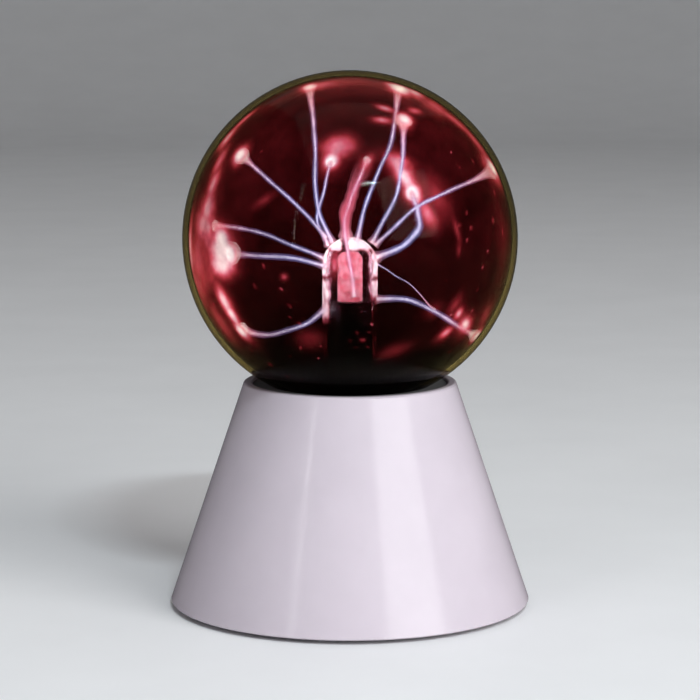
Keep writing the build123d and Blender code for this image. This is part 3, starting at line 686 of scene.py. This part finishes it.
def blobs(glow):
    """The patches of a glow in its own plane: (u, v, size along, size across, strength)."""
    _, along, across, _, strength, petals = glow
    yield 0.0, 0.0, along, across, strength
    for k in range(petals):
        turn = 2 * math.pi * (k + 0.3) / petals
        u = along * 0.7 * math.cos(turn)
        v = across * 0.7 * math.sin(turn)
        yield u, v, along * 0.5, across * 0.5, strength * 0.8


def glow_on_glass():
    """Blurred lobes of light where the filaments spread out over the glass."""
    points, faces = globe_grid(GLOW_R, 200, 400, GLOW_LOWEST)
    where = np.array([(p - CENTRE)[:] for p in points]) / MM
    light = np.zeros(len(points))
    ragged = np.array([noise.fractal(Vector(p) * 0.16, 1.0, 2.0, 4) for p in where]).clip(-0.9, 0.9)
    # A glow doesn't show through to places farther from its middle than this, in mm
    same_side = 30
    for glow in GLOWS:
        (x, z, side), _, _, tilt, _, _ = glow
        middle = (spot(x, z, side, GLOW_R) - CENTRE) / MM
        out = middle.normalized()
        flat = Vector((math.cos(math.radians(tilt)), 0, math.sin(math.radians(tilt))))
        first = (flat - out * flat.dot(out)).normalized()
        second = out.cross(first)
        gap = where - np.array(middle[:])
        along, across = gap @ np.array(first[:]), gap @ np.array(second[:])
        for u, v, length, width, strength in blobs(glow):
            near = ((along - u) / length) ** 2 + ((across - v) / width) ** 2
            near = near * (1 + 0.5 * ragged)
            near[np.linalg.norm(gap, axis=1) > same_side] *= 100
            patch = strength * (0.88 * np.exp(-0.9 * near) + 0.12 * np.exp(-0.3 * near))
            light = np.maximum(light, patch) + 0.35 * np.minimum(light, patch)
    # A faint red bloom over the upper half and the sides
    spread = np.clip(0.3 + where[:, 2] / 40 + np.abs(where[:, 0]) / 60, 0, 1)
    bloom = 0.036 * spread * (1 + ragged)
    strength = np.clip(np.maximum(light, bloom), 0, HEAT[-1][0])
    cover = np.clip(1.1 * strength, 0.01, 0.9)
    colours = [tuple(c / a for c in heat(i)) for i, a in zip(strength, cover)]
    piece = light_mesh("plasma_glow_on_glass", points, faces, colours, cover)
    piece.data.materials.append(glowing("look_plasma_glow", FILM_LIGHT, see_through=True))


def glow_on_stem():
    """The bright sheath round the stem's dome, where the filaments take root."""
    radius = STEM_R + SHEATH_LIFT
    outline = [(radius, z * MM) for z in np.arange(SHEATH_FOOT_Z / MM, DOME_Z / MM, 0.3)]
    for turn in np.linspace(0, math.pi / 2, 30):
        outline.append((radius * math.cos(turn), DOME_Z + radius * math.sin(turn)))
    top_z = stem_high.z / MM
    sides = 140
    points, faces, colours, cover = [], [], [], []
    for r, z in outline:
        for k in range(sides):
            turn = 2 * math.pi * k / sides
            x, y = r * math.cos(turn), r * math.sin(turn)
            points.append(Vector((x, y, z)))
            rough = noise.fractal(Vector((x, y, z)) * 700, 1.0, 2.0, 4)
            below = top_z - z / MM
            flank = smooth(0.70, 0.86, abs(x) / radius + 0.06 * rough)
            ends = 18.0 if x < 0 else 13.6
            flank *= 1 - smooth(ends - 2.5, ends, below + 1.5 * rough)
            flank *= 1 - 0.85 * math.exp(-(((below - 8.2) / 0.45) ** 2))
            crown = 1 - smooth(1.5, 2.7, below + 0.5 * rough)
            notch = smooth(0.2, 0.7, abs(x / MM + 1.3) + 0.4 * rough)
            ember = math.exp(-(((x / MM + 3.2) / 1.1) ** 2) - ((below - 5.0) / 2.4) ** 2)
            amount = max(flank * (0.9 + 0.3 * rough), crown * notch, 0.0)
            cover.append(min(0.96, max(amount, 0.75 * ember)))
            colours.append(heat(max(0.42 + 0.62 * amount, 0.68 * ember) + 0.12 * rough))
    for i in range(len(outline) - 1):
        for k in range(sides):
            a, b = i * sides + k, i * sides + (k + 1) % sides
            faces.append((a, b, b + sides, a + sides))
    piece = light_mesh("plasma_sheath", points, faces, colours, cover)
    piece.data.materials.append(glowing("look_plasma_sheath", FILM_LIGHT, see_through=True))


def gas_filling():
    points, faces = globe_grid(GAS_R, 96, 192, GAS_LOWEST)
    mesh = bpy.data.meshes.new("gas_filling")
    mesh.from_pydata([tuple(p) for p in points], [], faces)
    mesh.shade_smooth()
    piece = bpy.data.objects.new("gas_filling", mesh)
    bpy.context.scene.collection.objects.link(piece)
    mesh.materials.append(gas_tint())
    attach(piece, "lamp")


# ------------------------------------------------------------------ parts with a pattern of their own


def lit_tip():
    """The electrode's tip: hot pink with paler specks."""
    mat, tree, shader = new_look("look_electrode_tip")
    specks = grain(tree, 1.4 * MM, detail=5, roughness=0.7)
    pink = seen_through_gas((0.66, 0.09, 0.14))
    pale = seen_through_gas((0.86, 0.34, 0.42))
    scale = max(*pink, *pale)
    light = ramp(tree, specks, [(0.38, shade(pink, 1 / scale)), (0.62, shade(pale, 1 / scale))])
    base = ramp(tree, specks, [(0.3, (0.10, 0.03, 0.04)), (0.7, (0.3, 0.1, 0.12))])
    feed(tree, shader.inputs["Base Color"], base)
    feed(tree, shader.inputs["Emission Color"], light)
    shader.inputs["Emission Strength"].default_value = scale / SEEN_SHARE[0]
    mat.cycles.emission_sampling = "NONE"
    return mat


def cell_jacket():
    """Printed foil: a dark body, a copper band by the positive end, bare metal at the ends."""
    mat, tree, shader = new_look("look_cell_label")
    split = add(tree, "ShaderNodeSeparateXYZ", Vector=place(tree))
    # The middle cell lies the other way round; the bands are laid out over band_reach on each side
    middle_edge = 5.4 * MM
    band_reach = 24.2 * MM
    middle = calc(tree, "LESS_THAN", calc(tree, "ABSOLUTE", split.outputs["X"]), middle_edge)
    way = calc(tree, "SUBTRACT", 1.0, calc(tree, "MULTIPLY", middle, 2.0))
    along = calc(tree, "MULTIPLY", split.outputs["Y"], way)
    share = fit(tree, along, -band_reach, band_reach, 0.0, 1.0)
    print_wear = grain(tree, 1.5 * MM, detail=5)
    base = ramp(
        tree,
        share,
        [
            (0.0, (0.55, 0.55, 0.56)),
            (0.10, (0.02, 0.05, 0.10)),
            (0.70, (0.55, 0.25, 0.06)),
            (0.955, (0.60, 0.60, 0.61)),
        ],
        "CONSTANT",
    )
    rubbed = fit(tree, print_wear, 0.6, 0.8, 0.0, 0.25)
    feed(tree, shader.inputs["Base Color"], blend(tree, rubbed, base, (0.4, 0.4, 0.4)))
    feed(tree, shader.inputs["Metallic"], 0.55)
    feed(tree, shader.inputs["Roughness"], fit(tree, print_wear, 0.3, 0.7, 0.22, 0.36))
    emboss(tree, shader, print_wear, 0.02 * MM, 0.3)
    return mat


def circuit_laminate():
    """Green solder mask over copper tracks, with tinned pads."""
    mat, tree, shader = new_look("look_board")
    bands = {"wave_type": "BANDS"}
    weave = add(tree, "ShaderNodeTexWave", bands, Vector=place(tree), Scale=900.0, Distortion=0.6)
    squares = {"distance": "MANHATTAN", "feature": "F2"}
    cells = add(tree, "ShaderNodeTexVoronoi", squares, Vector=place(tree), Scale=260.0)
    tracks = fit(tree, cells.outputs["Distance"], 0.60, 0.66, 0.0, 1.0)
    mask = blend(tree, tracks, (0.010, 0.105, 0.045), (0.030, 0.20, 0.075))
    pads = add(tree, "ShaderNodeTexVoronoi", Vector=place(tree), Scale=190.0)
    pad = fit(tree, pads.outputs["Distance"], 0.13, 0.16, 1.0, 0.0)
    feed(tree, shader.inputs["Base Color"], blend(tree, pad, mask, (0.62, 0.61, 0.57)))
    feed(tree, shader.inputs["Metallic"], calc(tree, "MULTIPLY", pad, 0.9))
    feed(tree, shader.inputs["Roughness"], fit(tree, grain(tree, 2 * MM), 0.3, 0.7, 0.24, 0.4))
    height = calc(tree, "ADD", tracks, calc(tree, "MULTIPLY", weave.outputs["Fac"], 0.2))
    emboss(tree, shader, height, 0.03 * MM, 0.6)
    return mat


def wound(name, colour, pitch, rough=0.3, metallic=0.0):
    """Turns of wire or tape, one above another along Z, with painted shade in the grooves between them."""
    mat, tree, shader = new_look(name)
    turns = calc(tree, "SINE", calc(tree, "MULTIPLY", axis_of(tree, "Z"), 2 * math.pi / pitch))
    uneven = grain(tree, 1.2 * MM, detail=4)
    groove = fit(tree, turns, -1.0, 0.2, 0.0, 1.0, smooth=True)
    lit = ramp(tree, uneven, [(0.3, shade(colour, 0.8)), (0.7, shade(colour, 1.15))])
    # Painted shade: the grooves between the turns are darkened to 0.35 of the colour
    feed(tree, shader.inputs["Base Color"], blend(tree, groove, shade(colour, 0.35), lit))
    feed(tree, shader.inputs["Metallic"], metallic)
    feed(tree, shader.inputs["Roughness"], fit(tree, uneven, 0.3, 0.7, rough, rough + 0.15))
    emboss(tree, shader, groove, pitch * 0.25, 0.8)
    return mat


def banded(name, axis, low, high, stops, rough=0.35, interpolation="CONSTANT"):
    """Colour bands along one axis, with a slightly uneven surface."""
    mat, tree, shader = new_look(name)
    share = fit(tree, axis_of(tree, axis), low, high, 0.0, 1.0)
    spots = grain(tree, 0.8 * MM, detail=4)
    base = ramp(tree, share, stops, interpolation)
    dirt = fit(tree, spots, 0.4, 0.8, 0.0, 0.25)
    feed(tree, shader.inputs["Base Color"], blend(tree, dirt, base, (0.02, 0.02, 0.02)))
    feed(tree, shader.inputs["Roughness"], fit(tree, spots, 0.3, 0.7, rough - 0.08, rough + 0.1))
    emboss(tree, shader, spots, 0.02 * MM, 0.4)
    return mat


def dress(nodes, mat):
    for name in nodes:
        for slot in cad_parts[name].material_slots:
            slot.material = mat


def dress_parts():
    dress(["base_shell"], glossy_white())
    dress(["base_plate"], moulded("look_white_plate", (0.74, 0.72, 0.78), 0.42, spread=0.03))
    door = moulded("look_white_door", (0.77, 0.75, 0.81), 0.36, size=0.28 * MM, spread=0.03)
    dress(["battery_door"], door)
    dress(["rubber_feet"], rubber("look_foot_rubber", (0.018, 0.018, 0.020)))
    dress(["foam_ring"], rubber("look_black_foam", (0.006, 0.005, 0.007), size=0.35 * MM))
    dress(["neck_bush"], rubber("look_bush_rubber", (0.03, 0.03, 0.033)))
    screws = ["base_plate_screws", "battery_door_screw", "retainer_screws", "board_screws"]
    screws += ["transistor_screw", "transistor_nut"]
    dress(screws, metal("look_screw_steel", (0.52, 0.51, 0.50), 0.28))
    dress(["battery_cells"], cell_jacket())
    dress(["battery_springs"], metal("look_spring_steel", (0.66, 0.65, 0.63), 0.22, along="Y"))
    contacts = ["contact_plate_positive", "contact_plate_negative", "contact_bridges"]
    dress(contacts, metal("look_nickel", (0.70, 0.67, 0.60), 0.26, along="X"))
    tint = (0.97, 0.985, 0.95)
    dress(["glass_globe"], clear_glass("look_globe_glass", tint, GLOBE_IOR, GLASS_COLOUR, GLASS_DENSITY))
    dress(["glass_stem", "exhaust_tip"], clear_glass("look_stem_glass", (0.93, 0.88, 0.95), STEM_IOR))
    dress(["electrode_core"], moulded("look_electrode_coat", (0.006, 0.005, 0.007), 0.35, spread=0.3))
    dress(["electrode_tip"], lit_tip())
    dress(["electrode_terminal"], metal("look_brass", (0.72, 0.50, 0.20), 0.25))
    dress(["globe_retainer"], moulded("look_retainer", (0.022, 0.022, 0.025), 0.45))
    dress(["circuit_board"], circuit_laminate())
    ferrite = moulded("look_ferrite", (0.045, 0.042, 0.042), 0.6, size=0.2 * MM, spread=0.25)
    dress(["transformer_core"], ferrite)
    dress(["transformer_bobbin"], moulded("look_bobbin", (0.03, 0.028, 0.026), 0.4))
    dress(["secondary_winding"], wound("look_winding_tape", (0.72, 0.50, 0.06), 2.2 * MM))
    dress(["primary_winding"], wound("look_winding_copper", (0.68, 0.24, 0.09), 0.28 * MM, 0.25, 0.85))
    dress(["heat_sink"], metal("look_sink", (0.58, 0.59, 0.61), 0.38))
    chip = moulded("look_chip", (0.020, 0.020, 0.022), 0.55, size=0.15 * MM)
    dress(["transistor_body", "driver_chip"], chip)
    legs = ["transistor_legs", "chip_legs", "resistor_leads"]
    dress(legs, metal("look_tinned", (0.70, 0.70, 0.68), 0.3))
    sleeve = [(0.0, (0.30, 0.32, 0.36)), (0.13, (0.012, 0.02, 0.075))]
    sleeve_span = (-19.2 * MM, -12.8 * MM)
    dress(["electrolytic_capacitors"], banded("look_capacitor", "Y", *sleeve_span, sleeve))
    dress(["film_capacitor"], moulded("look_film_box", (0.62, 0.33, 0.04), 0.25, size=0.8 * MM))
    beige = (0.62, 0.47, 0.28)
    bands = [(0.28, (0.20, 0.07, 0.02)), (0.42, (0.01, 0.01, 0.01)), (0.56, (0.55, 0.06, 0.01))]
    stops = [(0.0, beige)]
    for start, colour in bands:
        stops += [(start, colour), (start + 0.06, beige)]
    resistor_span = (-16.0 * MM, -9.8 * MM)
    dress(["resistors"], banded("look_resistor", "X", *resistor_span, stops))
    dress(["battery_lead_positive"], moulded("look_wire_red", (0.50, 0.015, 0.012), 0.3, size=0.6 * MM))
    dress(["battery_lead_negative"], moulded("look_wire_black", (0.012, 0.012, 0.013), 0.3, size=0.6 * MM))
    dress(["high_voltage_lead"], moulded("look_wire_white", (0.72, 0.70, 0.66), 0.3, size=0.6 * MM))
    dress(["usb_shell", "switch_frame"], metal("look_socket_steel", (0.60, 0.60, 0.61), 0.25, along="Y"))
    dress(["usb_tongue"], moulded("look_socket_plastic", (0.015, 0.015, 0.016), 0.5))
    dress(["switch_body"], moulded("look_phenolic", (0.24, 0.10, 0.04), 0.6, spread=0.25))
    dress(["switch_slider", "switch_knob"], moulded("look_knob", (0.02, 0.02, 0.022), 0.5))


# ------------------------------------------------------------------ stage, light and camera


def floor():
    """A pale floor that curves up into a round backdrop, the same from every side."""
    flat, bend, top = 1.5, 0.9, 2.2
    outline = [(0.0, 0.0), (0.5, 0.0), (1.0, 0.0)]
    for step in range(13):
        turn = math.pi / 2 * step / 12
        outline.append((flat + bend * math.sin(turn), bend * (1 - math.cos(turn))))
    outline.append((flat + bend, top))
    sides = 96
    points = [
        (r * math.cos(2 * math.pi * k / sides), r * math.sin(2 * math.pi * k / sides), z)
        for r, z in outline[1:]
        for k in range(sides)
    ]
    points.append((0.0, 0.0, 0.0))
    faces = [(k, (k + 1) % sides, len(points) - 1) for k in range(sides)]
    for i in range(len(outline) - 2):
        for k in range(sides):
            a, b = i * sides + k, i * sides + (k + 1) % sides
            faces.append((a, a + sides, b + sides, b))
    mesh = bpy.data.meshes.new("floor")
    mesh.from_pydata(points, [], faces)
    mesh.shade_smooth()
    piece = bpy.data.objects.new("floor", mesh)
    bpy.context.scene.collection.objects.link(piece)
    mat, tree, shader = new_look("look_floor")
    speckle = grain(tree, 40 * MM, detail=6)
    base = ramp(tree, speckle, [(0.3, (0.85, 0.85, 0.86)), (0.7, (0.88, 0.88, 0.89))])
    feed(tree, shader.inputs["Base Color"], base)
    feed(tree, shader.inputs["Roughness"], 0.6)
    mesh.materials.append(mat)
    # Its mirror image would wash out the dark glass and the base's shaded side
    piece.visible_glossy = False


def softbox(name, azimuth, elevation, distance, width, height, power, tint=(1, 1, 1)):
    """A soft light aimed at the lamp; azimuth 0 is in front, positive to the right."""
    data = bpy.data.lights.new(name, "AREA")
    data.shape = "RECTANGLE"
    data.size, data.size_y = width, height
    data.energy = power
    data.color = tint
    lamp = bpy.data.objects.new(name, data)
    bpy.context.scene.collection.objects.link(lamp)
    az, el = math.radians(azimuth), math.radians(elevation)
    aim = Vector((0, 0, 0.045))
    way = Vector((math.sin(az) * math.cos(el), -math.cos(az) * math.cos(el), math.sin(el)))
    lamp.location = aim + way * distance
    lamp.rotation_euler = way.to_track_quat("Z", "Y").to_euler()
    lamp.visible_camera = False


def studio():
    world = bpy.data.worlds.new("studio")
    bpy.context.scene.world = world
    world.use_nodes = True
    sky = world.node_tree.nodes["Background"]
    sky.inputs["Color"].default_value = (0.80, 0.80, 0.82, 1)
    sky.inputs["Strength"].default_value = 0.055
    softbox("key_right", 44, 26, 1.2, 0.80, 0.90, 11.2)
    softbox("strip_left", -38, 22, 1.1, 0.04, 0.80, 0.80)
    softbox("overhead", 0, 85, 1.5, 1.4, 1.4, 4.6)
    softbox("glint", 15, 43.5, 0.8, 0.13, 0.03, 2.6, (0.85, 0.95, 1.0))
    softbox("rear_fill", 176, 58, 1.5, 1.5, 1.3, 1.5)


def camera():
    data = bpy.data.cameras.new("camera")
    data.lens = 136
    data.sensor_width = 36
    data.clip_start = 0.01
    eye = bpy.data.objects.new("camera", data)
    bpy.context.scene.collection.objects.link(eye)
    eye.location = VIEWER
    aim = Vector((0, 0, 0.0540))
    eye.rotation_euler = (eye.location - aim).to_track_quat("Z", "Y").to_euler()
    bpy.context.scene.camera = eye


dress_parts()
gas_filling()
glow_on_glass()
glow_on_stem()
filament_bodies()
floor()
studio()
camera()
bpy.context.scene.view_settings.view_transform = "Standard"
bpy.context.scene.cycles.transparent_max_bounces = 32
